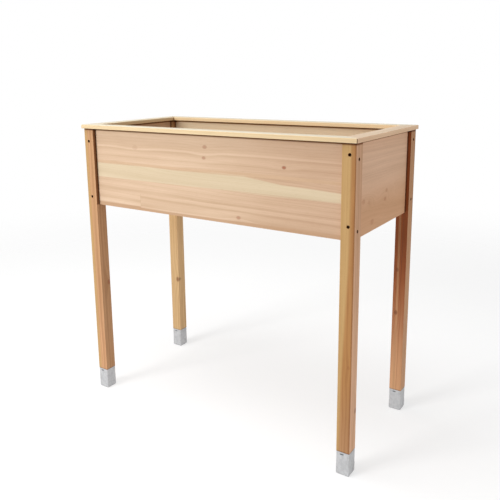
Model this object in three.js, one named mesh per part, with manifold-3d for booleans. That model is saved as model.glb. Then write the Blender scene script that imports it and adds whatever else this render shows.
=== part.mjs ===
// Raised planter on legs: a cedar planting box hung between four square posts,
// framed by a mitred rim, floored with loose boards, and shod with sheet-metal leg caps.
//
// Units are millimetres. The origin is on the floor, centred under the planter:
// +X runs along the long side to the right, -Y is the front, +Z is up.

import * as THREE from 'three';
import { mergeVertices } from 'three/addons/utils/BufferGeometryUtils.js';
import Module from 'manifold-3d';

const wasm = await Module();
wasm.setup();

// ---- driving dimensions ----

const GAP = 0.3;              // air left between pieces that touch
const HEIGHT = 840;           // floor to the top of the rim
const FRAME_LENGTH = 870;     // over the legs, along X
const FRAME_DEPTH = 400;      // over the legs, along Y
const LEG = 35;               // side of the square leg

const RIM_THICKNESS = 11;
const RIM_WIDTH = 40;
const RIM_OVERHANG_END = 5;   // past the legs along X
const RIM_OVERHANG_FACE = 8;  // past the legs along Y
const MITRE_BLUNT = 1.5;      // cut square off the sharp tip of each mitre

const PANEL_THICKNESS = 13;
const PANEL_SETBACK = 10;     // outer face of a panel, in from the face of the leg
const PANEL_BOTTOM = 600;     // height of the lower edge of the planting box

const LEDGER = 20;            // square strip that carries the floor
const BOARD_COUNT = 8;
const BOARD_THICKNESS = 12;
const DRAIN_GAP = 6;          // between two floor boards

const CAP_HEIGHT = 62;
const CAP_WALL = 0.9;
const STAPLE_HEIGHT = 56.5;   // middle of the staple that holds each cap
const STAPLE_INSET = 15;      // from the left side of the leg
const STAPLE_CROWN = 9.5;     // length of the bar that shows
const STAPLE_DEPTH = 12;      // of its two points, from the face of the cap
const STAPLE_CHISEL = 2;      // length of the slant on each point
const WIRE_WIDTH = 1.6;
const WIRE_THICKNESS = 1.4;

const UPPER_PAIR = [802, 636];  // heights of the two screws on one face of a leg
const LOWER_PAIR = [791, 624];  // and on the next face, so that the screws miss each other
const LEDGER_SCREWS_X = [-300, 0, 300];

// One entry for each kind of screw. sink is how deep the head sits below the surface.
const LEG_SCREW = { head: 3.7, headHeight: 2.6, flat: true, shank: 2, length: 58, sink: 8.5 };
const LEDGER_SCREW = { head: 3.6, headHeight: 2.4, flat: false, shank: 1.8, length: 27, sink: 0.5 };

const SHANK_FACETS = 10;
const HEAD_HOLE_FACETS = 20;

// ---- derived dimensions ----

const RIM_BOTTOM = HEIGHT - RIM_THICKNESS;
const HALF_X = FRAME_LENGTH / 2;
const HALF_Y = FRAME_DEPTH / 2;
const PANEL_INSIDE = PANEL_SETBACK + PANEL_THICKNESS;   // inner face of a panel from the leg face
const PANEL_CENTRE = PANEL_SETBACK + PANEL_THICKNESS / 2;
const FLOOR_BOTTOM = PANEL_BOTTOM + LEDGER + GAP;

const CORNERS = [
  { name: 'front_left', x: -1, y: -1 },
  { name: 'front_right', x: 1, y: -1 },
  { name: 'back_left', x: -1, y: 1 },
  { name: 'back_right', x: 1, y: 1 },
];

// ---- materials ----

const finish = (color, roughness, metalness) => ({ color, roughness, metalness });
const LEG_WOOD = finish('#c9a06c', 0.6, 0);
const PANEL_WOOD = finish('#e3c5a1', 0.65, 0);
const RIM_WOOD = finish('#ecd6b2', 0.6, 0);
const FLOOR_WOOD = finish('#d8b78c', 0.7, 0);
const CAP_METAL = finish('#c4c5c8', 0.45, 0.9);
const SCREW_METAL = finish('#4a4038', 0.4, 0.9);
const STAPLE_METAL = finish('#565c62', 0.4, 0.9);

// ---- solids ----

// Welds a closed geometry's shared vertices and drops the triangles that collapse on an axis.
function weld(geometry) {
  const bare = geometry.clone();
  bare.deleteAttribute('normal');
  bare.deleteAttribute('uv');
  const welded = mergeVertices(bare, 1e-4);
  const index = welded.index.array;
  const kept = [];
  for (let i = 0; i < index.length; i += 3) {
    const [a, b, c] = [index[i], index[i + 1], index[i + 2]];
    if (a !== b && b !== c && c !== a) kept.push(a, b, c);
  }
  welded.setIndex(kept);
  return welded;
}

function toSolid(geometry) {
  const welded = weld(geometry);
  return new wasm.Manifold(new wasm.Mesh({
    numProp: 3,
    vertProperties: new Float32Array(welded.attributes.position.array),
    triVerts: new Uint32Array(welded.index.array),
  }));
}

function toGeometry(solid) {
  const mesh = solid.getMesh();
  const geometry = new THREE.BufferGeometry();
  geometry.setAttribute('position', new THREE.BufferAttribute(mesh.vertProperties, 3));
  geometry.setIndex(new THREE.BufferAttribute(mesh.triVerts, 1));
  geometry.computeVertexNormals();
  return geometry;
}

function cut(geometry, tools) {
  let solid = toSolid(geometry);
  for (const tool of tools) solid = solid.subtract(toSolid(tool));
  return toGeometry(solid);
}

// A box between two opposite corners.
function block(low, high) {
  const [sx, sy, sz] = low.map((value, i) => high[i] - value);
  const [cx, cy, cz] = low.map((value, i) => (high[i] + value) / 2);
  return new THREE.BoxGeometry(sx, sy, sz).translate(cx, cy, cz);
}

// A flat board: an outline in X and Y, raised from one height to another.
function board(outline, bottom, top) {
  const shape = new THREE.Shape(outline.map(([x, y]) => new THREE.Vector2(x, y)));
  const geometry = new THREE.ExtrudeGeometry(shape, { depth: top - bottom, bevelEnabled: false });
  return geometry.translate(0, 0, bottom);
}

// ---- screws ----

// Turns a profile of [radius, depth] points about the screw's own line.
function turned(profile, facets, screw) {
  const points = profile.map(([radius, depth]) => new THREE.Vector2(radius, depth));
  const geometry = new THREE.LatheGeometry(points, facets);
  const along = new THREE.Vector3(...screw.direction);
  const turn = new THREE.Quaternion().setFromUnitVectors(new THREE.Vector3(0, 1, 0), along);
  return geometry.applyQuaternion(turn).translate(...screw.at);
}

// The screw itself. Depth runs inwards from the surface that it enters.
function screwBody(screw) {
  const { head, headHeight, flat, shank, length, sink } = screw.kind;
  const tip = 4 * shank;
  const seat = sink + headHeight;
  const profile = [[0, sink], [head, sink]];
  if (flat) profile.push([head, seat]);
  profile.push([shank, seat], [shank, length - tip], [0, length]);
  return weld(turned(profile, SHANK_FACETS, screw));
}

// The space that the screw needs in the pieces it passes through.
function screwHoles(screw) {
  const { head, headHeight, flat, shank, length, sink } = screw.kind;
  const widen = (radius, facets) => (radius + GAP) / Math.cos(Math.PI / facets);
  const mouth = widen(head, HEAD_HOLE_FACETS);
  const bore = widen(shank, SHANK_FACETS);
  const seat = sink + headHeight + GAP;
  const shankHole = [[0, -1], [bore, -1], [bore, length + GAP], [0, length + GAP]];
  const foot = flat ? mouth : bore * 0.9;
  const shoulder = flat ? seat : sink + GAP;
  const headHole = [[0, -1], [mouth, -1], [mouth, shoulder], [foot, seat], [0, seat]];
  return [turned(shankHole, SHANK_FACETS, screw), turned(headHole, HEAD_HOLE_FACETS, screw)];
}

// Two screws through each of the two outer faces of a leg, into the ends of its two panels.
// Legs are alike and turned a quarter turn from corner to corner, so the pairs swap over.
function legScrews(corner) {
  const turnedLeg = corner.x * corner.y > 0;
  const [longPair, endPair] = turnedLeg ? [UPPER_PAIR, LOWER_PAIR] : [LOWER_PAIR, UPPER_PAIR];
  const places = ['upper', 'lower'];
  const intoLong = longPair.map((z, i) => ({
    name: `screw_${corner.name}_long_${places[i]}`,
    kind: LEG_SCREW,
    at: [corner.x * HALF_X, corner.y * (HALF_Y - PANEL_CENTRE), z],
    direction: [-corner.x, 0, 0],
  }));
  const intoEnd = endPair.map((z, i) => ({
    name: `screw_${corner.name}_end_${places[i]}`,
    kind: LEG_SCREW,
    at: [corner.x * (HALF_X - PANEL_CENTRE), corner.y * HALF_Y, z],
    direction: [0, -corner.y, 0],
  }));
  return [...intoLong, ...intoEnd];
}

// Screws from inside the box, through a ledger and into the long panel behind it.
function ledgerScrews(side, y) {
  return LEDGER_SCREWS_X.map((x, i) => ({
    name: `ledger_screw_${side}_${i + 1}`,
    kind: LEDGER_SCREW,
    at: [x, y * (HALF_Y - PANEL_INSIDE - GAP - LEDGER), PANEL_BOTTOM + LEDGER / 2],
    direction: [0, y, 0],
  }));
}

const screws = [
  ...CORNERS.flatMap(legScrews),
  ...ledgerScrews('front', -1),
  ...ledgerScrews('back', 1),
];

// ---- staples ----

// Where a staple goes in: the middle of its crown, on the face of the leg that looks to the front.
function staplePlace(corner) {
  const left = corner.x * HALF_X - (corner.x > 0 ? LEG : 0);
  const front = corner.y * HALF_Y - (corner.y > 0 ? LEG : 0);
  return { x: left + STAPLE_INSET, y: front };
}

// A U of flat wire with chisel points. Its crown lies flat, just off the face of the cap.
function stapleBody(corner) {
  const { x, y } = staplePlace(corner);
  const half = STAPLE_CROWN / 2;
  const point = y + STAPLE_DEPTH;
  const right = [
    [half, y - GAP - WIRE_THICKNESS],
    [half, point - STAPLE_CHISEL],
    [half - WIRE_THICKNESS, point],
    [half - WIRE_THICKNESS, y - GAP],
  ];
  const left = right.map(([across, depth]) => [-across, depth]).reverse();
  const outline = [...right, ...left].map(([across, depth]) => [x + across, depth]);
  return weld(board(outline, STAPLE_HEIGHT - WIRE_WIDTH / 2, STAPLE_HEIGHT + WIRE_WIDTH / 2));
}

// The two slots that a staple needs in the cap and in the leg.
function stapleHoles(corner) {
  const { x, y } = staplePlace(corner);
  const outer = STAPLE_CROWN / 2 + GAP;
  const inner = STAPLE_CROWN / 2 - WIRE_THICKNESS - GAP;
  const rise = WIRE_WIDTH / 2 + GAP;
  return [[-outer, -inner], [inner, outer]].map(([from, to]) => block(
    [x + from, y - 1, STAPLE_HEIGHT - rise],
    [x + to, y + STAPLE_DEPTH + GAP, STAPLE_HEIGHT + rise],
  ));
}

const holes = [...screws.flatMap(screwHoles), ...CORNERS.flatMap(stapleHoles)];

// ---- the assembly ----

const planter = new THREE.Group();
planter.name = 'raised_planter';

function add(name, geometry, look) {
  const mesh = new THREE.Mesh(geometry, new THREE.MeshStandardMaterial(look));
  mesh.name = name;
  planter.add(mesh);
}

// The corners of a leg's square, in from its sides by inset, between two heights.
function legBlock(corner, inset, bottom, top) {
  const outer = [corner.x * (HALF_X - inset), corner.y * (HALF_Y - inset)];
  const inner = [corner.x * (HALF_X - LEG + inset), corner.y * (HALF_Y - LEG + inset)];
  const low = [Math.min(outer[0], inner[0]), Math.min(outer[1], inner[1]), bottom];
  const high = [Math.max(outer[0], inner[0]), Math.max(outer[1], inner[1]), top];
  return block(low, high);
}

// A post whose foot is rebated all round, so that the cap sits flush with the wood.
function addLeg(corner) {
  const foot = legBlock(corner, CAP_WALL + GAP, CAP_WALL + GAP, CAP_HEIGHT + 2 * LEG);
  const post = legBlock(corner, 0, CAP_HEIGHT + GAP, RIM_BOTTOM - GAP);
  const whole = toGeometry(toSolid(post).add(toSolid(foot)));
  add(`leg_${corner.name}`, cut(whole, holes), LEG_WOOD);
}

// A square sheet-metal cup, open at the top.
function addCap(corner) {
  const outside = legBlock(corner, 0, 0, CAP_HEIGHT);
  const inside = legBlock(corner, CAP_WALL, CAP_WALL, 2 * CAP_HEIGHT);
  add(`leg_cap_${corner.name}`, cut(outside, [inside, ...holes]), CAP_METAL);
}

// Panels stand between the legs, with their ends against the legs' inner faces.
function addPanels() {
  const endX = HALF_X - LEG - GAP;
  const endY = HALF_Y - LEG - GAP;
  const top = RIM_BOTTOM - GAP;
  for (const [name, side] of [['front', -1], ['back', 1]]) {
    const faces = [side * (HALF_Y - PANEL_SETBACK), side * (HALF_Y - PANEL_INSIDE)];
    const slab = block([-endX, Math.min(...faces), PANEL_BOTTOM], [endX, Math.max(...faces), top]);
    add(`panel_${name}`, cut(slab, holes), PANEL_WOOD);
  }
  for (const [name, side] of [['left', -1], ['right', 1]]) {
    const faces = [side * (HALF_X - PANEL_SETBACK), side * (HALF_X - PANEL_INSIDE)];
    const slab = block([Math.min(...faces), -endY, PANEL_BOTTOM], [Math.max(...faces), endY, top]);
    add(`panel_${name}`, cut(slab, holes), PANEL_WOOD);
  }
}

// Four flat boards glued down on the legs and panels, mitred at 45 degrees where they meet, with
// the tips of the mitres blunted.
function addRim() {
  const outX = HALF_X + RIM_OVERHANG_END;
  const outY = HALF_Y + RIM_OVERHANG_FACE;
  const inX = outX - RIM_WIDTH;
  const inY = outY - RIM_WIDTH;
  const trim = GAP / Math.SQRT2;    // half of the mitre's gap, measured along a board
  // half of a board's outline, along its length and across it from the box's centre
  const half = (end, out, inner) => [
    [end - trim - MITRE_BLUNT, out],
    [end - trim - MITRE_BLUNT, out - MITRE_BLUNT],
    [end - trim - RIM_WIDTH, inner],
  ];
  const whole = (points) => [...points, ...points.map(([along, across]) => [-along, across]).reverse()];
  const longBoard = whole(half(outX, outY, inY));
  const endBoard = whole(half(outY, outX, inX));
  for (const [name, side] of [['front', -1], ['back', 1]]) {
    const outline = longBoard.map(([along, across]) => [-side * along, side * across]);
    add(`rim_${name}`, board(outline, RIM_BOTTOM, HEIGHT), RIM_WOOD);
  }
  for (const [name, side] of [['left', -1], ['right', 1]]) {
    const outline = endBoard.map(([along, across]) => [side * across, side * along]);
    add(`rim_${name}`, board(outline, RIM_BOTTOM, HEIGHT), RIM_WOOD);
  }
}

function addLedgers() {
  const endX = HALF_X - LEG - GAP;
  for (const [name, side] of [['front', -1], ['back', 1]]) {
    const near = side * (HALF_Y - PANEL_INSIDE - GAP);
    const far = near - side * LEDGER;
    const low = [-endX, Math.min(near, far), PANEL_BOTTOM];
    const high = [endX, Math.max(near, far), PANEL_BOTTOM + LEDGER];
    add(`ledger_${name}`, cut(block(low, high), holes), FLOOR_WOOD);
  }
}

// Loose boards laid across the ledgers. The first and the last are notched round the legs.
function addFloor() {
  const halfLength = HALF_X - PANEL_INSIDE - GAP;
  const halfDepth = HALF_Y - PANEL_INSIDE - GAP;
  const width = (2 * halfLength - (BOARD_COUNT - 1) * DRAIN_GAP) / BOARD_COUNT;
  const legs = CORNERS.map((corner) => legBlock(corner, -GAP, PANEL_BOTTOM, HEIGHT));
  for (let i = 0; i < BOARD_COUNT; i += 1) {
    const left = -halfLength + i * (width + DRAIN_GAP);
    const low = [left, -halfDepth, FLOOR_BOTTOM];
    const high = [left + width, halfDepth, FLOOR_BOTTOM + BOARD_THICKNESS];
    add(`floor_board_${i + 1}`, cut(block(low, high), legs), FLOOR_WOOD);
  }
}

CORNERS.forEach(addLeg);
CORNERS.forEach(addCap);
addPanels();
addRim();
addLedgers();
addFloor();
for (const screw of screws) add(screw.name, screwBody(screw), SCREW_METAL);
for (const corner of CORNERS) add(`cap_staple_${corner.name}`, stapleBody(corner), STAPLE_METAL);

export default planter;
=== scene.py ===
"""The looks of the raised planter: cedar boards, zinc-coated leg caps, screws, staples and studio.

Everything is in metres, in the part's own frame: +X along the long side, -Y the front, +Z up.
"""

import math

import bmesh
import bpy
from mathutils import Matrix, Vector


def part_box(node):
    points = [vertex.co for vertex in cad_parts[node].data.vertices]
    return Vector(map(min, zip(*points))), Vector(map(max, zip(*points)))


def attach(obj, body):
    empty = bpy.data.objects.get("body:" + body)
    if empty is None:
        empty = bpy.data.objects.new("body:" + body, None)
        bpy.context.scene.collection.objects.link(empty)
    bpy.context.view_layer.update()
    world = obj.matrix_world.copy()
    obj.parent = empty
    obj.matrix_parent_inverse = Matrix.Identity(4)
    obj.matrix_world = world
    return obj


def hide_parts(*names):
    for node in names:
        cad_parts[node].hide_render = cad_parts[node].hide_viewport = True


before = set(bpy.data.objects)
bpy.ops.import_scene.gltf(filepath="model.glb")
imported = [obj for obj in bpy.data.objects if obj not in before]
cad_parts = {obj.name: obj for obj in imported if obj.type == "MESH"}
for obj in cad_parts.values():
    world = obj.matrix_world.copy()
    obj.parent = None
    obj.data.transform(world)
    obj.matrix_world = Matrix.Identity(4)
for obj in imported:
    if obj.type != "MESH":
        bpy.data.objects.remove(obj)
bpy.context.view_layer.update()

MM = 0.001

# ---- camera ----
AZIMUTH = 33.32           # degrees round from straight in front, towards +X
ELEVATION = 11.53
ROLL = -0.60
DISTANCE = 1.781
TARGET = Vector((0.020, 0.0, 0.623))
LENS = 44.16              # mm
SENSOR = 36.0             # mm
SHIFT_Y = -0.10           # keeps the legs close to parallel

# ---- studio ----
FILL = 0.40               # light from all round, against the white that the backdrop shows
FLOOR_RADIUS = 7.0
FLOOR_DROP = 0.4 * MM     # the floor lies this far under the feet
FLOOR_CLEAR = 0.9         # the floor begins to fade into the backdrop this far out
FLOOR_GONE = 3.2          # and has gone this far out
FLOOR_GREY = 0.42
FLOOR_GLOW = 0.62

# ---- names and heights from the frame ----
CORNERS = ["front_left", "front_right", "back_left", "back_right"]
SIDES = ["front", "back", "left", "right"]
FLOOR_BOARDS = 8
RIM_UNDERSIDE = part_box("rim_front")[0].z
PANEL_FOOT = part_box("panel_front")[0].z
CAP_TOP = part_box("leg_cap_front_left")[1].z


# ---- node graphs ----

def linear(code):
    """The linear colour of an #rrggbb code, with alpha."""
    channels = [int(code[i:i + 2], 16) / 255 for i in (1, 3, 5)]
    powered = [c / 12.92 if c <= 0.04045 else ((c + 0.055) / 1.055) ** 2.4 for c in channels]
    return (*powered, 1.0)


def scaled(colour, red, green, blue):
    return (colour[0] * red, colour[1] * green, colour[2] * blue, 1.0)


class Graph:
    """A new material and short calls for the nodes that the materials here are made of."""

    def __init__(self, name):
        self.material = bpy.data.materials.new(name)
        self.material.use_nodes = True
        self.tree = self.material.node_tree
        self.shader = self.tree.nodes["Principled BSDF"]
        self.place = self.node("ShaderNodeTexCoord").outputs["Object"]

    def node(self, kind, **settings):
        made = self.tree.nodes.new(kind)
        for key, value in settings.items():
            setattr(made, key, value)
        return made

    def feed(self, socket, value):
        """Joins a socket to another one, or sets it to a plain value."""
        if isinstance(value, bpy.types.NodeSocket):
            self.tree.links.new(value, socket)
        else:
            socket.default_value = value

    def surface(self, name, value):
        """Feeds one of the shader's own sockets."""
        self.feed(self.shader.inputs[name], value)

    def math(self, operation, *values, clamp=False):
        made = self.node("ShaderNodeMath", operation=operation, use_clamp=clamp)
        for socket, value in zip(made.inputs, values):
            self.feed(socket, value)
        return made.outputs[0]

    def vector(self, operation, *values):
        made = self.node("ShaderNodeVectorMath", operation=operation)
        for socket, value in zip(made.inputs, values):
            self.feed(socket, value)
        return made.outputs["Value" if operation == "LENGTH" else "Vector"]

    def split(self, vector):
        made = self.node("ShaderNodeSeparateXYZ")
        self.feed(made.inputs[0], vector)
        return made.outputs

    def join(self, x, y, z):
        made = self.node("ShaderNodeCombineXYZ")
        for socket, value in zip(made.inputs, (x, y, z)):
            self.feed(socket, value)
        return made.outputs[0]

    def noise(self, vector, scale, detail, roughness=0.5):
        """Noise in space: its first output is a number, and its second is a colour."""
        made = self.node("ShaderNodeTexNoise")
        self.feed(made.inputs["Vector"], vector)
        made.inputs["Scale"].default_value = scale
        made.inputs["Detail"].default_value = detail
        made.inputs["Roughness"].default_value = roughness
        return made.outputs

    def line_noise(self, value, scale, detail, roughness):
        """Noise that changes along one number only."""
        made = self.node("ShaderNodeTexNoise", noise_dimensions="1D")
        self.feed(made.inputs["W"], value)
        made.inputs["Scale"].default_value = scale
        made.inputs["Detail"].default_value = detail
        made.inputs["Roughness"].default_value = roughness
        return made.outputs[0]

    def smooth(self, value, low, high, start=0.0, end=1.0):
        """Goes smoothly from start to end as a value goes from low to high."""
        made = self.node("ShaderNodeMapRange", interpolation_type="SMOOTHSTEP")
        for socket, number in zip(made.inputs, (value, low, high, start, end)):
            self.feed(socket, number)
        return made.outputs[0]

    def ramp(self, value, stops):
        """Straight lines through (position, height) stops."""
        made = self.node("ShaderNodeValToRGB")
        self.feed(made.inputs[0], value)
        elements = made.color_ramp.elements
        while len(elements) < len(stops):
            elements.new(0.5)
        for element, (position, height) in zip(elements, stops):
            element.position = position
            element.color = (height, height, height, 1)
        return made.outputs[0]

    def height_at(self, value, stops):
        """As ramp, or one plain number where the heights are alike, which may lie outside 0 to 1."""
        if len({height for _, height in stops}) == 1:
            return stops[0][1]
        return self.ramp(value, stops)

    def mix(self, factor, first, second, blend="MIX"):
        made = self.node("ShaderNodeMix", data_type="RGBA", blend_type=blend)
        self.feed(made.inputs["Factor"], factor)
        self.feed(made.inputs[6], first)
        self.feed(made.inputs[7], second)
        return made.outputs[2]

    def shaded(self, colour, factor, shade):
        """Multiplies a colour by a shade, as far as the factor says."""
        return self.mix(factor, colour, self.mix(1.0, colour, shade, "MULTIPLY"))

    def bump(self, height, distance, strength):
        made = self.node("ShaderNodeBump")
        made.inputs["Strength"].default_value = strength
        made.inputs["Distance"].default_value = distance
        self.feed(made.inputs["Height"], height)
        self.surface("Normal", made.outputs[0])

    def open_air(self, reach):
        """1 in the open, down to 0 deep in a corner that is closed in within reach."""
        made = self.node("ShaderNodeAmbientOcclusion", samples=12)
        made.inputs["Distance"].default_value = reach
        return made.outputs["AO"]

    def near_edge(self, parts, sizes):
        """How far a point on a box is from the box's nearest edge: the middle one of three distances."""
        a, b, c = [self.math("SUBTRACT", size / 2, self.math("ABSOLUTE", part))
                   for part, size in zip(parts, sizes)]
        return self.math("MAXIMUM", self.math("MINIMUM", a, b),
                         self.math("MINIMUM", self.math("MAXIMUM", a, b), c))


# ---- wood ----

AXES = {"X": 0, "Y": 1, "Z": 2}

# the log that a board is cut from
RING = 2.2 * MM             # width of one year
BOARD_SPREAD = 3.7          # how far apart two boards with seeds in a row lie in the noise
STAVE_SPREAD = 5.0          # and two staves of one board
STAVE_SHIFT = 0.05          # metres further from the pith, for each 1 of a stave's jump
LENGTHWAYS = 0.14           # the grain's wander is drawn out along the board by this
WANDER = 16.0               # per metre, as are those below
CLOUDS = 30.0
WEAR_AND_HIGHLIGHT = 70.0
FIBRES = (9.0, 620.0)       # along and across
PORES = (60.0, 1500.0)
YEAR = ((0.0, 0.35), (0.12, 0.0), (0.55, 0.15), (0.9, 1.0), (1.0, 0.35))    # darkness through a ring

# how far the pattern jumps at the glued edges, one after the other, and at a butt joint
FIRST_JUMP = 0.37
JUMP_GROWTH = 0.19
BUTT_JUMP = 0.61

# how far each pattern moves the tone, between pale early wood and dark late wood
RING_WEIGHT = 0.24
BAND_WEIGHT = 1.9
FIBRE_WEIGHT = 0.8
CLOUD_WEIGHT = 0.9
MID_TONE = 0.36
CALM = 0.45                 # share of the contrast that is left in a streak
PALE_WOOD = (1.10, 1.11, 1.13)
DARK_WOOD = (0.83, 0.76, 0.69)

# knots
KNOT_TAPER = 0.35           # how fast a knot closes up with depth
KNOT_STRETCH = 0.7          # a knot is longer than wide by 1 over this
PUSH_STRETCH = 0.3          # and the grain that it pushes aside by 1 over this
KNOT_RAGGED = 1.3           # how far the wander moves its outline, against its radius
PUSH_REACH = 5.0            # how far out it pushes the grain, against its radius
KNOT_COVER = 0.85           # how far a knot hides the wood's colour, and how far its dark rim does
KNOT_RIM_COVER = 0.35
KNOT_PALE = (1.25, 1.2, 1.2)
KNOT_DARK = (0.75, 0.7, 0.7)
KNOT_RIM = (0.6, 0.5, 0.4)

# what is left of the colour in some places, and how far each shade is laid on there
PORE_SHADE = (0.62, 0.50, 0.40, 1.0)
PORE_COVER = 0.22
GLUE_SHADE = (0.60, 0.48, 0.38, 1.0)
GLUE_COVER = 0.6
END_SHADE = (0.72, 0.62, 0.53, 1.0)
# edges are painted paler by this: partly wear, partly a painted highlight
WEAR_AND_HIGHLIGHT_SHADE = (1.18, 1.17, 1.15, 1.0)
WEAR_AND_HIGHLIGHT_COVER = 0.30
# painted shade: CORNER_SHADE darkens closed-in corners, a leg's face beside a panel, the line under the rim
# and the line above a cap, as strongly as the three below say
CORNER_SHADE = (0.30, 0.16, 0.045, 1.0)
BESIDE_PANEL = 0.80
UNDER_RIM = 0.95
OVER_CAP = 0.6

# a face is taken to look across, or along, as that part of its normal goes from the first to the second
LOOKS_ACROSS = (0.45, 0.75)
LOOKS_ALONG = (0.6, 0.9)
CLOSED_IN = (0.45, 0.85)    # the share of open air at which a corner gets its full painted shade, and at which it gets none

GLUE_LINE = 0.35 * MM       # half the width of the line where two staves are glued
BUTT_LINE = 0.56 * MM       # and of the line at a butt joint
WEAR_AND_HIGHLIGHT_EDGE = (0.5 * MM, 2.4 * MM)    # the wear and the painted edge highlight fade between these distances from an edge
STREAK_SWAY = 0.05          # how far the wander moves a streak's edges, as a share of the width
STREAK_BLUR = 1.5 * MM
CORNER_REACH = 9 * MM       # what lies this near closes a corner in
RIM_LINE = (7.5 * MM, 3.375 * MM)   # the painted shadow line under the rim grows between these depths under it
CAP_LINE = (0.5 * MM, 3.5 * MM)     # and the painted shadow line above a cap fades between these heights over it
WOOD_RELIEF = 0.12 * MM


def board_place(graph, node, axes):
    """Coordinates along, across and through a board, from its centre.

    axes names the three in that order, such as XZY for a front panel."""
    low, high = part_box(node)
    from_centre = graph.vector("SUBTRACT", graph.place, (low + high) / 2)
    parts = graph.split(from_centre)
    return [parts[AXES[name]] for name in axes]


def board_sizes(node, axes):
    low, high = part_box(node)
    return [(high - low)[AXES[name]] for name in axes]


def drawn_out(graph, parts, lengthways, crossways):
    """A place in a noise that is stretched along the board."""
    scales = (lengthways, crossways, crossways)
    return graph.join(*(graph.math("MULTIPLY", part, scale) for part, scale in zip(parts, scales)))


def knot_fields(graph, parts, sizes, knots, face, wander):
    """How far the knots push the grain aside, a mask of the knots, and one of their dark rims.

    A knot is (fraction along, fraction across, radius, strength) and runs in from the face on the
    given side of the board. With "side" after that it lies in the side that looks along +across,
    and its second fraction is through the board."""
    push, mask, rim = 0.0, 0.0, 0.0
    for at_length, at_width, radius, strength, *where in knots:
        flat, deep = (2, 1) if where else (1, 2)
        towards = 1 if where else face
        beside = graph.math("SUBTRACT", parts[0], (at_length - 0.5) * sizes[0])
        above = graph.math("SUBTRACT", parts[flat], (at_width - 0.5) * sizes[flat])
        depth = graph.math("SUBTRACT", towards * sizes[deep] / 2, parts[deep])
        depth = graph.math("MULTIPLY", depth, KNOT_TAPER)
        near = graph.vector("LENGTH", graph.join(
            graph.math("MULTIPLY", beside, KNOT_STRETCH), above, depth))
        near = graph.math("MULTIPLY_ADD", wander, radius * KNOT_RAGGED, near)
        wide = graph.vector("LENGTH", graph.join(
            graph.math("MULTIPLY", beside, PUSH_STRETCH), above, depth))
        swell = graph.smooth(wide, 0.0, radius * PUSH_REACH, radius * (0.4 + 1.3 * strength), 0.0)
        push = graph.math("ADD", push, swell)
        spot = graph.smooth(near, radius * 0.2, radius * 1.35, strength, 0.0)
        mask = graph.math("MAXIMUM", mask, spot)
        outer = graph.smooth(near, radius * 0.85, radius * 1.25, strength, 0.0)
        inner = graph.smooth(near, radius * 0.45, radius * 0.85, strength, 0.0)
        rim = graph.math("MAXIMUM", rim, graph.math("SUBTRACT", outer, inner))
    return push, mask, rim


def stave_fields(graph, t, part, sizes, staves, butts):
    """A number that jumps from stave to stave, and a mask of the glue lines between them.

    staves are the glued edges as fractions across. butts are end joints within one stave,
    as (lower edge, upper edge, fraction along)."""
    jump, line = 0.0, 0.0
    for i, edge in enumerate(staves):
        above = graph.math("GREATER_THAN", part, edge)
        jump = graph.math("MULTIPLY_ADD", above, FIRST_JUMP + JUMP_GROWTH * i, jump)
        away = graph.math("MULTIPLY", graph.math("ABSOLUTE", graph.math("SUBTRACT", part, edge)), sizes[1])
        line = graph.math("MAXIMUM", line, graph.smooth(away, 0.0, GLUE_LINE, 0.5, 0.0))
    for low, high, at in butts:
        inside = graph.math("MULTIPLY", graph.math("GREATER_THAN", part, low),
                            graph.math("LESS_THAN", part, high))
        beyond = graph.math("MULTIPLY", graph.math("GREATER_THAN", t, at), inside)
        jump = graph.math("MULTIPLY_ADD", beyond, BUTT_JUMP, jump)
        away = graph.math("MULTIPLY", graph.math("ABSOLUTE", graph.math("SUBTRACT", t, at)), sizes[0])
        seam = graph.math("MULTIPLY", graph.smooth(away, 0.0, BUTT_LINE, 1.0, 0.0), inside)
        line = graph.math("MAXIMUM", line, seam)
    return jump, line


def log_radius(graph, parts, sway, swing, pith, lean, jump):
    """How far a point of the board is from the pith of the log that it was cut from."""
    along, across, through = parts
    in_log = []
    for place, centre, slope, drift in ((across, pith[0], lean[0], sway[0]),
                                        (through, pith[1], lean[1], sway[1])):
        leaned = graph.math("MULTIPLY_ADD", along, slope, place)
        moved = graph.math("MULTIPLY_ADD", drift, swing, leaned)
        in_log.append(graph.math("SUBTRACT", moved, centre))
    in_log[1] = graph.math("MULTIPLY_ADD", jump, STAVE_SHIFT, in_log[1])
    return graph.vector("LENGTH", graph.join(in_log[0], in_log[1], 0.0))


def wood_tone(graph, contrast, late, bands, fibre, cloud):
    """From 0, pale early wood, to 1, dark late wood."""
    tone = graph.math("MULTIPLY", late, RING_WEIGHT * contrast)
    for pattern, weight in ((bands, BAND_WEIGHT), (fibre, FIBRE_WEIGHT), (cloud, CLOUD_WEIGHT)):
        centred = graph.math("SUBTRACT", pattern, 0.5)
        tone = graph.math("MULTIPLY_ADD", centred, weight * contrast, tone)
    return graph.math("ADD", tone, MID_TONE, clamp=True)


def plain_colour(graph, t, part, width, drift, tone, heart, fade, streaks):
    """The colour of the clear wood: the heart colour, what it fades to, and the streaks over it."""
    calm_tone = graph.math("MULTIPLY_ADD", graph.math("SUBTRACT", tone, MID_TONE), CALM, MID_TONE)

    def toned(code, factor):
        base = linear(code)
        return graph.mix(factor, scaled(base, *PALE_WOOD), scaled(base, *DARK_WOOD))

    colour = toned(heart, tone)
    if fade:
        tint, full, gone = fade
        rising = float(full < gone)
        share = graph.smooth(t, min(full, gone), max(full, gone), rising, 1.0 - rising)
        colour = graph.mix(share, colour, toned(tint, tone))
    swayed = graph.math("MULTIPLY_ADD", drift, STREAK_SWAY, part)
    for tint, lower, upper, strength, *blur in streaks:
        soft = (blur[0] if blur else STREAK_BLUR) / width
        above = graph.smooth(graph.math("SUBTRACT", swayed, graph.height_at(t, lower)), -soft, soft)
        below = graph.smooth(graph.math("SUBTRACT", graph.height_at(t, upper), swayed), -soft, soft)
        inside = graph.math("MULTIPLY", graph.math("MULTIPLY", above, below), strength)
        colour = graph.mix(inside, colour, toned(tint, calm_tone))
    return colour, toned


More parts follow.
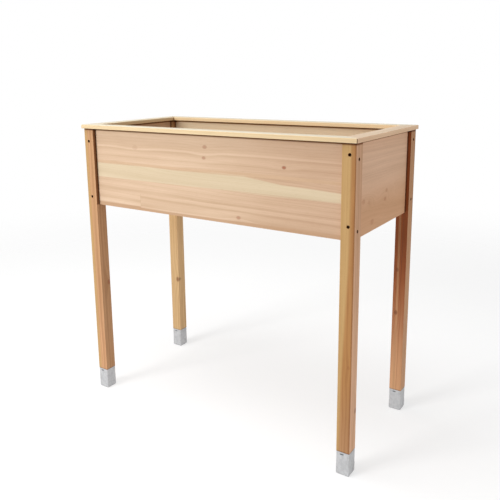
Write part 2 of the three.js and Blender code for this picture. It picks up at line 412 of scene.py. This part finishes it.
def shadowed(graph, colour, sideways, recessed, under_rim):
    """Darkens corners that are closed in, and the places where other pieces keep the light out."""
    # painted shade in corners that are closed in
    painted_corner_shade = graph.smooth(graph.open_air(CORNER_REACH), *CLOSED_IN, 1.0, 0.0)
    colour = graph.shaded(colour, painted_corner_shade, CORNER_SHADE)
    height = graph.split(graph.place)[2]
    # painted shade on a leg's side face that looks along +across, above the panel foot, where the panel's
    # edge keeps the light off
    if recessed:
        beside = graph.math("MULTIPLY", graph.math("GREATER_THAN", height, PANEL_FOOT),
                            graph.smooth(sideways, *LOOKS_ACROSS, 0.0, BESIDE_PANEL))
        colour = graph.shaded(colour, beside, CORNER_SHADE)
    # painted shadow: a dark line under the rim's overhang, and one just above a cap
    if under_rim:
        line = graph.smooth(height, RIM_UNDERSIDE - RIM_LINE[0], RIM_UNDERSIDE - RIM_LINE[1], 0.0, UNDER_RIM)
        over_cap = graph.smooth(height, CAP_TOP + CAP_LINE[0], CAP_TOP + CAP_LINE[1], OVER_CAP, 0.0)
        colour = graph.shaded(colour, graph.math("MAXIMUM", line, over_cap), CORNER_SHADE)
    return colour


def wood(node, axes, heart, streaks=(), side=None, pith=(0.03, 0.09), lean=(0.004, 0.012),
         knots=(), staves=(), butts=(), seed=0, contrast=1.0, swing=16 * MM, stripes=105.0,
         rough=0.60, knot_colour="#9a5230", fade=None, knot_face=-1, under_rim=False, recessed=False):
    """Cedar cut from a log. Rings run round a pith that lies beside the board.

    heart is the main colour, and side is the colour of the faces that look across. streaks are
    (colour, lower edge, upper edge, strength), each edge a list of (fraction along, fraction across),
    and may end with how far their edges are blurred. fade is (colour, fraction along where it is
    full, fraction along where it has gone). pith is where the log's centre lies from the board's,
    across and through, and lean is how it slopes along the board. swing is how far the grain
    wanders, and stripes is how close its bands of slow and fast years are. under_rim adds painted
    shadow: dark lines under the rim and above a cap. recessed paints shade on the side face that
    looks along +across, as far as a panel's edge lies beside it.
    as far as a panel's edge lies beside it."""
    graph = Graph(f"wood_{node}")
    parts = board_place(graph, node, axes)
    along, across, through = parts
    sizes = board_sizes(node, axes)
    t = graph.math("MULTIPLY_ADD", along, 1 / sizes[0], 0.5)
    part = graph.math("MULTIPLY_ADD", across, 1 / sizes[1], 0.5)
    jump, glue = stave_fields(graph, t, part, sizes, staves, butts)

    shifted = graph.math("ADD", graph.math("ADD", along, seed * BOARD_SPREAD),
                         graph.math("MULTIPLY", jump, STAVE_SPREAD))
    drawn = graph.join(graph.math("MULTIPLY", shifted, LENGTHWAYS), across, through)
    wander = graph.noise(drawn, WANDER, 2.0)
    sway = graph.split(graph.vector("SUBTRACT", wander[1], (0.5, 0.5, 0.5)))
    push, knot_mask, knot_rim = knot_fields(graph, parts, sizes, knots, knot_face, sway[2])
    radius = graph.math("ADD", log_radius(graph, parts, sway, swing, pith, lean, jump), push)

    # yearly rings, bands of slow and fast years, fibres, pores and broad clouds of colour
    late = graph.ramp(graph.math("FRACT", graph.math("DIVIDE", radius, RING)), YEAR)
    bands = graph.line_noise(graph.math("MULTIPLY_ADD", jump, 3.1, graph.math("ADD", radius, seed * 0.71)),
                             stripes, 5.0, 0.66)
    fibre = graph.noise(drawn_out(graph, (shifted, across, through), *FIBRES), 1.0, 3.0, 0.6)[0]
    pores = graph.noise(drawn_out(graph, (shifted, across, through), *PORES), 1.0, 1.0)[0]
    pores = graph.smooth(pores, 0.62, 0.74)
    cloud = graph.noise(drawn, CLOUDS, 2.0)[0]
    tone = wood_tone(graph, contrast, late, bands, fibre, cloud)

    colour, toned = plain_colour(graph, t, part, sizes[1], sway[0], tone, heart, fade, streaks)
    facing = graph.split(graph.node("ShaderNodeNewGeometry").outputs["Normal"])
    facing_along, facing_across = facing[AXES[axes[0]]], facing[AXES[axes[1]]]
    if side:
        sideways = graph.smooth(graph.math("ABSOLUTE", facing_across), *LOOKS_ACROSS)
        colour = graph.mix(sideways, colour, toned(side, tone))

    knot = linear(knot_colour)
    heart_of_knot = graph.mix(fibre, scaled(knot, *KNOT_PALE), scaled(knot, *KNOT_DARK))
    colour = graph.mix(graph.math("MULTIPLY", knot_mask, KNOT_COVER), colour, heart_of_knot)
    rim_cover = graph.math("MULTIPLY", knot_rim, KNOT_RIM_COVER)
    colour = graph.mix(rim_cover, colour, scaled(knot, *KNOT_RIM))
    colour = graph.shaded(colour, graph.math("MULTIPLY", pores, PORE_COVER), PORE_SHADE)
    colour = graph.shaded(colour, graph.math("MULTIPLY", glue, GLUE_COVER), GLUE_SHADE)

    # cut ends drink more light than the faces do
    end = graph.smooth(graph.math("ABSOLUTE", facing_along), *LOOKS_ALONG)
    colour = graph.shaded(colour, end, END_SHADE)
    colour = shadowed(graph, colour, facing_across, recessed, under_rim)

    # handled edges are worn a little smoother, and painted paler as a highlight along them, more in some
    # places than in others
    edge = graph.smooth(graph.near_edge(parts, sizes), *WEAR_AND_HIGHLIGHT_EDGE, 1.0, 0.0)
    wear_and_highlight = graph.math("MULTIPLY", edge, graph.smooth(graph.noise(graph.place, WEAR_AND_HIGHLIGHT, 3.0)[0], 0.35, 0.65))
    colour = graph.shaded(colour, graph.math("MULTIPLY", wear_and_highlight, WEAR_AND_HIGHLIGHT_COVER), WEAR_AND_HIGHLIGHT_SHADE)
    graph.surface("Base Color", colour)

    roughness = graph.math("MULTIPLY_ADD", fibre, 0.16, rough - 0.05)
    roughness = graph.math("MULTIPLY_ADD", knot_mask, -0.12, roughness)
    roughness = graph.math("MULTIPLY_ADD", wear_and_highlight, -0.08, roughness)
    graph.surface("Roughness", roughness)
    graph.surface("Specular IOR Level", 0.28)
    relief = graph.math("MULTIPLY_ADD", fibre, 0.7, graph.math("MULTIPLY", late, 0.5))
    relief = graph.math("MULTIPLY_ADD", glue, -1.2, relief)
    relief = graph.math("MULTIPLY_ADD", pores, -0.5, relief)
    graph.bump(relief, WOOD_RELIEF, 0.5)
    return graph.material


# ---- carried-over boards ----

WELD_REACH = 0.02 * MM
EASED = 0.9 * MM              # rounding of a board's edges
RIM_EASED = 1.1 * MM
EASE_SEGMENTS = 3
EASE_ANGLE = math.radians(50)     # edges that are sharper than this are rounded


def dress(node, material, eased=EASED):
    """Gives a CAD board its wood, welds its faces back together and rounds its sharp edges a little."""
    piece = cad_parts[node]
    piece.data.materials.clear()
    piece.data.materials.append(material)
    weld = piece.modifiers.new("weld", "WELD")
    weld.merge_threshold = WELD_REACH
    bevel = piece.modifiers.new("eased", "BEVEL")
    bevel.width = eased
    bevel.segments = EASE_SEGMENTS
    bevel.limit_method = "ANGLE"
    bevel.angle_limit = EASE_ANGLE


# the colours of the planed wood
PINK_CEDAR = "#d0b498"
TAN_CEDAR = "#c4a488"
CREAM_SAPWOOD = "#d0bea0"
FLUSHED_CEDAR = "#c8a888"
ORANGE_CEDAR = "#b89474"
ROSY_CEDAR = "#ecc4a4"
WARM_CEDAR = "#dca87c"
CREAM_RIM = "#d0c8b4"
HONEY_RIM = "#d8c098"
ROSY_RIM = "#d0bca4"
PALE_ROSY_RIM = "#f8d4b0"
GOLD_LEG = "#bc9068"
STRAW_LEG = "#bc9864"
BROWN_LINE = "#9c7048"
CHESTNUT_LEG = "#a87846"
DARK_LINE = "#7c5028"
TAWNY_LEG = "#ac8058"
PINK_LEG = "#dcae8a"
PALE_LEG = "#c8a678"
SUNNY_LEG = "#d8b484"
RUSSET_LEG_WITH_PAINTED_SHADE = "#8c4a20"
SALMON_LEG = "#c89870"
UMBER_LINE = "#6a3a24"

# the lean of the grain and the closeness of its bands in the legs
LEG_LEAN = (0.002, 0.003)
LEG_STRIPES = 190.0
FLOOR_ROUGH = 0.72            # sawn, not planed


def level(fraction):
    """The edge of a streak that runs straight along a board."""
    return ((0.0, fraction), (1.0, fraction))


def dress_panels():
    narrowing = ((0.0, 0.564), (0.66, 0.564), (0.80, 0.50), (1.0, 0.475))
    dress("panel_front", wood(
        "panel_front", "XZY", PINK_CEDAR, pith=(0.02, 0.085), seed=1, under_rim=True,
        contrast=0.9, swing=9 * MM, fade=(TAN_CEDAR, 0.95, 0.45),
        streaks=((FLUSHED_CEDAR, level(0.56), level(0.60), 0.7),
                 (CREAM_SAPWOOD, level(0.380), narrowing, 1.0),
                 (ORANGE_CEDAR, level(-0.1), level(0.04), 0.8)),
        staves=(0.21, 0.380, 0.564), butts=((0.0, 0.21, 0.212),),
        knots=((0.506, 0.857, 5.5 * MM, 0.55), (0.501, 0.73, 4.5 * MM, 0.6),
               (0.805, 0.695, 3.8 * MM, 1.0), (0.636, 0.083, 5 * MM, 0.6),
               (0.196, 0.79, 6 * MM, 0.18))))
    dress("panel_back", wood(
        "panel_back", "XZY", PINK_CEDAR, pith=(-0.03, -0.08), seed=2, under_rim=True, knot_face=1,
        streaks=((CREAM_SAPWOOD, level(0.6), level(1.1), 1.0),),
        staves=(0.33, 0.6), butts=((0.33, 0.6, 0.64),),
        knots=((0.22, 0.4, 5 * MM, 0.9), (0.7, 0.25, 4 * MM, 0.6))))
    dress("panel_right", wood(
        "panel_right", "YZX", ROSY_CEDAR, pith=(-0.02, 0.10), seed=3,
        under_rim=True, knot_face=1, lean=(0.05, 0.02), contrast=0.6, knot_colour="#b4582c",
        streaks=((WARM_CEDAR, level(-0.6), level(0.42), 0.8, 55 * MM),),
        knots=((0.558, 0.385, 5.5 * MM, 0.42), (0.532, 0.29, 5 * MM, 0.42),
               (0.11, 0.36, 6 * MM, 0.34), (0.28, 0.10, 6 * MM, 0.34), (0.21, 0.33, 5 * MM, 0.25))))
    dress("panel_left", wood(
        "panel_left", "YZX", PINK_CEDAR, pith=(0.03, -0.10), seed=4, under_rim=True, contrast=0.7,
        knots=((0.4, 0.6, 4 * MM, 0.7), (0.72, 0.2, 3 * MM, 0.5))))


def dress_legs():
    dress("leg_front_left", wood(
        "leg_front_left", "ZXY", GOLD_LEG, side=GOLD_LEG, fade=(SALMON_LEG, 0.0, 0.6),
        streaks=((STRAW_LEG, level(-0.4), level(0.30), 0.9, 4 * MM),
                 (BROWN_LINE, level(0.62), level(0.76), 0.35)),
        pith=(0.05, 0.04), lean=LEG_LEAN, seed=10, contrast=1.5, stripes=LEG_STRIPES,
        under_rim=True, recessed=True,
        knots=((0.42, 0.85, 5 * MM, 0.8, "side"),)))
    widening = ((0.0, 0.16), (0.3, 0.25), (0.6, 0.55), (0.72, 0.66), (1.0, 0.66))
    dress("leg_front_right", wood(
        "leg_front_right", "ZXY", CHESTNUT_LEG, side=PINK_LEG, fade=(TAWNY_LEG, 0.05, 0.35),
        streaks=((STRAW_LEG, level(-0.4), widening, 1.0, 5 * MM),
                 (DARK_LINE, level(0.93), level(1.2), 0.5)),
        pith=(0.05, 0.04), lean=LEG_LEAN, seed=11, contrast=1.7, stripes=LEG_STRIPES,
        under_rim=True, knot_colour="#8a4a26",
        knots=((0.2, 0.85, 5 * MM, 0.7, "side"), (0.35, 0.8, 3 * MM, 0.3))))
    dress("leg_back_left", wood(
        "leg_back_left", "ZXY", PALE_LEG, side=SUNNY_LEG,
        pith=(0.06, 0.03), lean=LEG_LEAN, seed=12, contrast=1.4, stripes=LEG_STRIPES,
        under_rim=True, recessed=True, knot_colour="#7d4a22",
        knots=((0.31, 0.86, 6 * MM, 1.0),)))
    # the back right leg: reddish heartwood, painted darker towards the top as the box's shadow, and paler
    # salmon towards the foot
    rising = ((0.0, 0.45), (0.3, 0.5), (0.6, 0.70), (1.0, 0.70))
    dress("leg_back_right", wood(
        "leg_back_right", "ZXY", RUSSET_LEG_WITH_PAINTED_SHADE, side=SALMON_LEG, fade=(SALMON_LEG, 0.02, 0.55),
        streaks=((GOLD_LEG, level(0.28), level(0.46), 0.5),
                 (UMBER_LINE, level(0.60), rising, 0.45)),
        pith=(0.03, 0.03), lean=(0.006, 0.004), seed=13, contrast=1.8, stripes=170.0,
        under_rim=True, knot_colour="#6e3a20",
        knots=((0.52, 0.3, 4.5 * MM, 0.8), (0.365, 0.3, 5 * MM, 0.9))))


def dress_rim():
    for seed, side in enumerate(SIDES):
        name = f"rim_{side}"
        axes = "XYZ" if side in ("front", "back") else "YXZ"
        top, edge = (ROSY_RIM, PALE_ROSY_RIM) if side == "right" else (CREAM_RIM, HONEY_RIM)
        dress(name, wood(name, axes, top, side=edge, pith=(0.02, -0.06),
                         seed=seed + 20, contrast=0.8), RIM_EASED)


def dress_floor():
    for i in range(FLOOR_BOARDS):
        name = f"floor_board_{i + 1}"
        dress(name, wood(name, "YXZ", TAN_CEDAR, pith=(0.03 - 0.01 * i, -0.07), seed=i + 30,
                         rough=FLOOR_ROUGH))
    for seed, side in enumerate(("front", "back")):
        name = f"ledger_{side}"
        dress(name, wood(name, "XZY", STRAW_LEG, seed=seed + 40, rough=FLOOR_ROUGH))


# ---- metal ----

def zinc():
    """Dull zinc-coated sheet, with faint spangles and rub marks, and painted shade in its closed-in corners.
    """
    graph = Graph("zinc_sheet")
    cells = graph.node("ShaderNodeTexVoronoi")
    graph.feed(cells.inputs["Vector"], graph.place)
    cells.inputs["Scale"].default_value = 160.0
    spangle = graph.split(cells.outputs["Color"])[0]
    upright = graph.vector("MULTIPLY", graph.place, (1.0, 1.0, 0.12))
    rubs = graph.noise(upright, 420.0, 4.0, 0.6)[0]
    smears = graph.noise(graph.place, 45.0, 3.0)[0]
    tone = graph.math("MULTIPLY_ADD", spangle, 0.28, graph.math("MULTIPLY", rubs, 0.52))
    tone = graph.math("MULTIPLY_ADD", graph.math("SUBTRACT", smears, 0.5), 0.3, tone)
    colour = graph.mix(tone, linear("#a8a9ab"), linear("#dededf"))
    # painted shade in the cap's closed-in corners
    painted_corner_shade = graph.smooth(graph.open_air(4 * MM), 0.35, 0.85, 1.0, 0.0)
    graph.surface("Base Color", graph.shaded(colour, painted_corner_shade, (0.38, 0.37, 0.37, 1)))
    graph.surface("Metallic", 0.55)
    graph.surface("Roughness", graph.math("MULTIPLY_ADD", tone, 0.22, 0.42))
    graph.bump(graph.math("MULTIPLY_ADD", spangle, 0.4, tone), 0.05 * MM, 0.4)
    return graph.material


def grimy_steel(name, dark, bright, grain, metallic, gloss_change, relief):
    """Small steel pieces, darker and brighter in fine patches."""
    graph = Graph(name)
    grime = graph.noise(graph.place, grain, 3.0)[0]
    graph.surface("Base Color", graph.mix(grime, linear(dark), linear(bright)))
    graph.surface("Metallic", metallic)
    graph.surface("Roughness", graph.math("MULTIPLY_ADD", grime, gloss_change, 0.38))
    graph.bump(grime, relief, 0.3)
    return graph.material


def dark_steel():
    """Phosphate-black screws, rubbed brighter here and there."""
    return grimy_steel("dark_steel", "#1d1815", "#453c36", 700.0, 0.7, 0.3, 0.05 * MM)


def bright_steel():
    """The wire of the cap staples: galvanised, darker than the sheet."""
    return grimy_steel("bright_steel", "#3f464d", "#6d7378", 900.0, 0.75, 0.25, 0.04 * MM)


# ---- mesh pieces ----

SHARP = math.radians(40)      # edges that are sharper than this stay crisp


def skin(mesh, loops):
    """Joins loops of points, each as long as the others, with a skin of quads, and caps both ends."""
    rows = [[mesh.verts.new(point) for point in loop] for loop in loops]
    count = len(rows[0])
    for near, far in zip(rows, rows[1:]):
        for i in range(count):
            j = (i + 1) % count
            mesh.faces.new((near[i], near[j], far[j], far[i]))
    mesh.faces.new(tuple(reversed(rows[0])))
    mesh.faces.new(rows[-1])


def finished(name, mesh, material):
    """Turns a bmesh into mesh data with its faces pointing out and its material on."""
    bmesh.ops.recalc_face_normals(mesh, faces=mesh.faces)
    data = bpy.data.meshes.new(name)
    mesh.to_mesh(data)
    mesh.free()
    data.materials.append(material)
    data.shade_smooth()
    data.set_sharp_from_angle(angle=SHARP)
    return data


def place_piece(name, data, stands_for, place=Matrix.Identity(4)):
    """Adds a piece that rides on the planter and stands for a CAD node."""
    piece = bpy.data.objects.new(name, data)
    bpy.context.scene.collection.objects.link(piece)
    piece.matrix_world = place
    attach(piece, "root")
    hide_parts(stands_for)


# ---- leg caps ----

CAP_WALL = 0.9 * MM
CAP_CORNER = 1.7 * MM         # radius of the upright edges
CAP_FOOT_CORNER = 3.0 * MM    # and where they meet the bottom
CAP_FOOT_EDGE = 2.0 * MM      # radius of the bottom's edges
CAP_FOOT_STEPS = 4
CAP_LIP = 0.3 * MM            # rounding of the open end
CORNER_STEPS = 5
FLAP_HEIGHT = 25 * MM
FLAP_THICKNESS = 0.5 * MM


def rounded_square(half, radius, z, centre):
    """The points of a square with rounded corners, at one height."""
    points = []
    for quarter, signs in enumerate(((1, 1), (-1, 1), (-1, -1), (1, -1))):
        cx, cy = [(half - radius) * sign for sign in signs]
        for step in range(CORNER_STEPS + 1):
            angle = math.pi / 2 * (quarter + step / CORNER_STEPS)
            points.append((centre.x + cx + radius * math.cos(angle),
                           centre.y + cy + radius * math.sin(angle), z))
    return points


def cap_loops(half, height, centre):
    """From the bottom's inside, up the inner wall, over the lip and down to the bottom's outside."""
    inner = half - CAP_WALL
    inner_corner = CAP_CORNER - CAP_WALL
    loops = [
        (inner, CAP_FOOT_CORNER - CAP_WALL, CAP_WALL),
        (inner, inner_corner, 12 * MM),
        (inner, inner_corner, height - CAP_LIP),
        (inner + CAP_LIP / 3, inner_corner + CAP_LIP / 3, height),
        (half - CAP_LIP / 3, CAP_CORNER - CAP_LIP / 3, height),
        (half, CAP_CORNER, height - CAP_LIP),
        (half, CAP_CORNER, 14 * MM),
        (half, CAP_CORNER * 0.6 + CAP_FOOT_CORNER * 0.4, 6 * MM),
    ]
    for step in range(CAP_FOOT_STEPS + 1):
        angle = math.pi / 2 * step / CAP_FOOT_STEPS
        drop = CAP_FOOT_EDGE * (1 - math.cos(angle))
        loops.append((half - drop, CAP_FOOT_CORNER, CAP_FOOT_EDGE * (1 - math.sin(angle))))
    return [rounded_square(size, radius, z, centre) for size, radius, z in loops]


def add_flap(mesh, x, side, y_side, half, centre):
    """A three-cornered fold of sheet, wrapped from the front or the back onto an end face."""
    edge = centre.y + y_side * (half - CAP_CORNER * 0.7)
    middle = centre.y + y_side * 0.6 * MM
    foot = CAP_FOOT_EDGE
    corners = [(edge, foot), (middle, foot), (middle, foot + 1.2 * MM), (edge, FLAP_HEIGHT)]
    mid_y = sum(y for y, _ in corners) / 4
    mid_z = sum(z for _, z in corners) / 4
    flat = [(x, y, z) for y, z in corners]
    raised = [(x + side * FLAP_THICKNESS * 0.6, y, z) for y, z in corners]
    top = [(x + side * FLAP_THICKNESS, y + (mid_y - y) * 0.06, z + (mid_z - z) * 0.06)
           for y, z in corners]
    skin(mesh, [flat, raised, top])


def add_leg_caps(material):
    for corner in CORNERS:
        node = f"leg_cap_{corner}"
        low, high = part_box(node)
        centre, half = (low + high) / 2, (high.x - low.x) / 2
        mesh = bmesh.new()
        skin(mesh, cap_loops(half, high.z, centre))
        for side in (-1, 1):
            for y_side in (-1, 1):
                add_flap(mesh, centre.x + side * (half - 0.05 * MM), side, y_side, half, centre)
        name = f"folded_cap_{corner}"
        place_piece(name, finished(name, mesh, material), node)


# ---- screws and staples ----

SCREW_SIDES = 24
SCREW_HEAD_HEIGHT = 2.5 * MM
LEG_SHANK = 2.0 * MM          # radius of the shanks of the sunk screws in the legs
LEDGER_SHANK = 1.8 * MM       # and of the countersunk ones in the ledgers
THREAD_DEPTH = 0.28           # against the shank's radius
THREAD_START = 0.28           # plain length under the head, against the screw's length
SCREW_TURN = 0.61             # radians from one screw to the next
HEAD_RINGS = (0.02, 0.12, 0.2, 0.3, 0.4, 0.5, 0.58, 0.64, 0.72, 0.86, 0.96, 1.0)

WIRE_THICKNESS = 1.4 * MM     # of a staple, seen from the side
WIRE_FLAT = 0.6               # share of each side of the wire that is flat
STAPLE_BEND = 0.9 * MM        # radius of its bends, along the middle of the wire
BEND_STEPS = 6
CHISEL_LENGTH = 2 * MM


def screw_mesh(length, head, shank, flat):
    """A cross-head wood screw along +Z from the top of its head at 0, with a thread and a point."""
    angles = [2 * math.pi * i / SCREW_SIDES for i in range(SCREW_SIDES)]
    arm, width, deep = head * 0.62, head * 0.17, SCREW_HEAD_HEIGHT * 0.75

    def recess(x, y):
        """Depth of the cross-shaped driver recess at a point of the head."""
        if max(abs(x), abs(y)) > arm or min(abs(x), abs(y)) > width:
            return 0.0
        return deep * (1.0 - 0.75 * max(abs(x), abs(y)) / arm)

    loops = []
    for share in HEAD_RINGS:
        radius = head * share
        crown = SCREW_HEAD_HEIGHT * 0.22 * share ** 4 if flat else 0.0
        loops.append([(radius * math.cos(a), radius * math.sin(a),
                       crown + recess(radius * math.cos(a), radius * math.sin(a))) for a in angles])
    under = SCREW_HEAD_HEIGHT * (1.0 if flat else 0.25)
    loops.append([(head * math.cos(a), head * math.sin(a), under) for a in angles])

    pitch, point = shank * 1.25, shank * 4
    threaded_length = length - SCREW_HEAD_HEIGHT
    steps = int(threaded_length / (pitch / 4))
    for step in range(steps + 1):
        z = SCREW_HEAD_HEIGHT + threaded_length * step / steps
        taper = min(1.0, (length - z) / point) * 0.98 + 0.02
        threaded = min(1.0, max(0.0, (z - SCREW_HEAD_HEIGHT - length * THREAD_START) / pitch))
        loop = []
        for i, a in enumerate(angles):
            groove = abs((z / pitch - i / SCREW_SIDES) % 1.0 - 0.5) * 2
            radius = shank * taper * (1.0 - THREAD_DEPTH * threaded * groove ** 1.5)
            loop.append((radius * math.cos(a), radius * math.sin(a), z))
        loops.append(loop)
    mesh = bmesh.new()
    skin(mesh, loops)
    return mesh


def staple_mesh(length, crown, width):
    """A staple of flat wire along +Z from the outside of its crown at 0, with chisel points."""
    half = WIRE_THICKNESS / 2
    reach = crown / 2 - half
    section = [(1, -WIRE_FLAT), (1, WIRE_FLAT), (WIRE_FLAT, 1), (-WIRE_FLAT, 1),
               (-1, WIRE_FLAT), (-1, -WIRE_FLAT), (-WIRE_FLAT, -1), (WIRE_FLAT, -1)]

    # the middle of the wire from point to point: x, z, the way it faces out in x and z, and thickness
    path = []
    for side in (-1, 1):
        arm = [(side * reach, length, side, 0, 0.1), (side * reach, length - CHISEL_LENGTH, side, 0, 1.0)]
        for step in range(BEND_STEPS + 1):
            angle = math.pi / 2 * step / BEND_STEPS
            out, down = math.cos(angle), math.sin(angle)
            arm.append((side * (reach - STAPLE_BEND + STAPLE_BEND * out),
                        half + STAPLE_BEND - STAPLE_BEND * down, side * out, -down, 1.0))
        path += arm if side < 0 else reversed(arm)
    mesh = bmesh.new()
    skin(mesh, [[(x + face_x * u * half * thick, v * width / 2, z + face_z * u * half * thick)
                 for u, v in section] for x, z, face_x, face_z, thick in path])
    return mesh


def inward(node):
    """Where a fastener's head is, which way it points, and how long, wide and high its CAD box is.

    A staple points back, from the side of its cap that looks to the front. A screw in a leg points
    to the middle of the planter, and one in a ledger away from it."""
    low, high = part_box(node)
    sizes = high - low
    axis = 0 if sizes.x > sizes.y else 1
    if node.startswith("cap_staple"):
        sign = 1
    elif node.startswith("ledger"):
        sign = 1 if (low + high)[axis] > 0 else -1
    else:
        sign = -1 if (low + high)[axis] > 0 else 1
    direction = Vector((0, 0, 0))
    direction[axis] = sign
    head = (low + high) / 2
    head[axis] = low[axis] if sign > 0 else high[axis]
    return head, direction, sizes[axis], sizes[1 - axis], sizes.z


def fastener_mesh(kind, length, width, height):
    """The mesh of a cap's staple, or of a leg's or a ledger's screw, to the size of its CAD box."""
    if kind == "cap":
        return staple_mesh(length, width, height)
    sunk = kind == "screw"
    return screw_mesh(length, max(width, height) / 2, LEG_SHANK if sunk else LEDGER_SHANK, sunk)


def add_fasteners(steel, galvanised):
    """Puts a detailed screw or staple where each plain CAD one is, the screws each turned differently."""
    made = {}
    for index, node in enumerate(sorted(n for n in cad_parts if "screw" in n or "staple" in n)):
        head, direction, length, width, height = inward(node)
        kind = node.split("_")[0]
        if kind == "cap":
            metal, slot, turn = galvanised, "staple_metal", 0.0
        else:
            metal, slot, turn = steel, "screw_metal", SCREW_TURN * index
        if kind not in made:
            made[kind] = finished(kind, fastener_mesh(kind, length, width, height), metal)
        aim = direction.to_track_quat("Z", "Y").to_matrix().to_4x4()
        place = Matrix.Translation(head) @ aim @ Matrix.Rotation(turn, 4, "Z")
        place_piece(f"detailed_{node}", made[kind], node, place)


# ---- floor, lights and camera ----

def add_floor():
    """A pale round floor that fades into the backdrop and glows a little, like a light table."""
    bpy.ops.mesh.primitive_circle_add(
        vertices=96, radius=FLOOR_RADIUS, fill_type="NGON", location=(0, 0, -FLOOR_DROP))
    floor = bpy.context.object
    floor.name = "studio_floor"
    graph = Graph("studio_floor")
    graph.surface("Roughness", 0.9)
    graph.surface("Specular IOR Level", 0.0)
    graph.surface("Base Color", (FLOOR_GREY, FLOOR_GREY, FLOOR_GREY, 1))
    graph.surface("Emission Color", (1, 1, 1, 1))
    graph.surface("Emission Strength", FLOOR_GLOW)
    away = graph.vector("LENGTH", graph.place)
    graph.surface("Alpha", graph.smooth(away, FLOOR_CLEAR, FLOOR_GONE, 1.0, 0.0))
    floor.data.materials.append(graph.material)


def add_softbox(name, place, aim, side, power):
    """A square area light, side metres wide, that looks at a point."""
    data = bpy.data.lights.new(name, "AREA")
    data.shape = "RECTANGLE"
    data.size = side
    data.size_y = side
    data.energy = power
    lamp = bpy.data.objects.new(name, data)
    lamp.location = place
    lamp.rotation_euler = (Vector(aim) - Vector(place)).to_track_quat("-Z", "Y").to_euler()
    bpy.context.scene.collection.objects.link(lamp)


def add_lights():
    add_softbox("key", (-1.5, -3.0, 1.8), (0, 0, 0.55), 1.2, 68)
    add_softbox("overhead", (-0.4, -0.5, 2.6), (0, 0, 0.4), 1.8, 40)
    add_softbox("side_fill", (3.2, -0.3, 1.0), (0, 0, 0.5), 1.5, 7)
    world = bpy.data.worlds.new("studio")
    bpy.context.scene.world = world
    world.use_nodes = True
    nodes, links = world.node_tree.nodes, world.node_tree.links
    backdrop = nodes["Background"]
    backdrop.inputs["Color"].default_value = (1, 1, 1, 1)
    # the backdrop shows as white, and lights the planter less than that
    seen = nodes.new("ShaderNodeLightPath").outputs["Is Camera Ray"]
    strength = nodes.new("ShaderNodeMapRange")
    strength.inputs["To Min"].default_value = FILL
    strength.inputs["To Max"].default_value = 1.0
    links.new(seen, strength.inputs["Value"])
    links.new(strength.outputs[0], backdrop.inputs["Strength"])
    bpy.context.scene.view_settings.view_transform = "Standard"


def add_camera():
    turn, rise, roll = (math.radians(angle) for angle in (AZIMUTH, ELEVATION, ROLL))
    back = Vector((math.sin(turn) * math.cos(rise), -math.cos(turn) * math.cos(rise), math.sin(rise)))
    right = Vector((math.cos(turn), math.sin(turn), 0))
    up = back.cross(right)
    rolled_right = right * math.cos(roll) + up * math.sin(roll)
    rolled_up = up * math.cos(roll) - right * math.sin(roll)
    data = bpy.data.cameras.new("camera")
    data.lens = LENS
    data.sensor_width = SENSOR
    data.shift_y = SHIFT_Y
    camera = bpy.data.objects.new("camera", data)
    rotation = Matrix((rolled_right, rolled_up, back)).transposed().to_4x4()
    camera.matrix_world = Matrix.Translation(TARGET + back * DISTANCE) @ rotation
    bpy.context.scene.collection.objects.link(camera)
    bpy.context.scene.camera = camera


add_camera()
add_floor()
add_lights()
dress_panels()
dress_legs()
dress_rim()
dress_floor()
add_leg_caps(zinc())
add_fasteners(dark_steel(), bright_steel())
